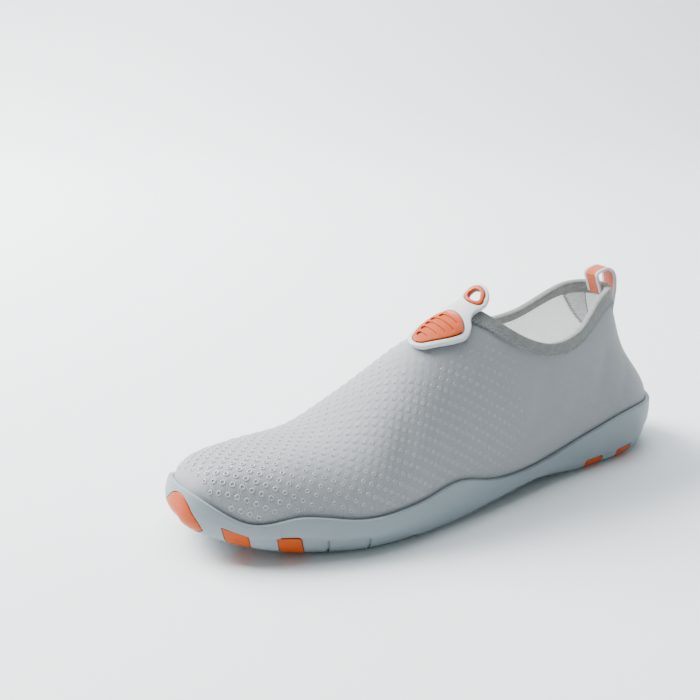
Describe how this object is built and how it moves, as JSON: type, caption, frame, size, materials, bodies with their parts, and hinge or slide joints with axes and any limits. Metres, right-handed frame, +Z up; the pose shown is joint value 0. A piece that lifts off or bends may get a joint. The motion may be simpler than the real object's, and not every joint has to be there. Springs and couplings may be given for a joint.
{
  "type": "water shoe",
  "caption": "Left water shoe: rubber cup sole with coloured edge lugs, knitted stretch upper, elastic collar, rubber pull tab on the instep and a webbing loop at the heel.",
  "frame": {"origin": "on the floor below the middle of the sole's outline", "axes": "+Y to the heel, -Y to the toe, +X to the outer side of the left foot, +Z up"},
  "size_m": [0.0966, 0.2718, 0.0996],
  "materials": {
    "sole_rubber": "smooth matte",
    "orange_rubber": "satin",
    "insole_foam": "matte, fabric covered",
    "upper_knit": "matte knit",
    "binding_elastic": "matte ribbed",
    "tape_woven": "matte woven",
    "loop_webbing": "woven, slight sheen",
    "tab_rubber": "satin"
  },
  "bodies": {
    "root": {"outsole": "sole_rubber", "toe_insert": "orange_rubber", "forefoot_insert_outer_1": "orange_rubber", "forefoot_insert_outer_2": "orange_rubber", "forefoot_insert_inner_1": "orange_rubber", "forefoot_insert_inner_2": "orange_rubber", "heel_insert_outer_1": "orange_rubber", "heel_insert_outer_2": "orange_rubber", "heel_insert_inner_1": "orange_rubber", "heel_insert_inner_2": "orange_rubber", "insole": "insole_foam", "upper": "upper_knit", "collar_binding": "binding_elastic", "heel_tape": "tape_woven", "pull_loop": "loop_webbing", "instep_tab": "tab_rubber", "badge_inlay": "orange_rubber", "tab_ring": "orange_rubber"}
  },
  "joints": []
}
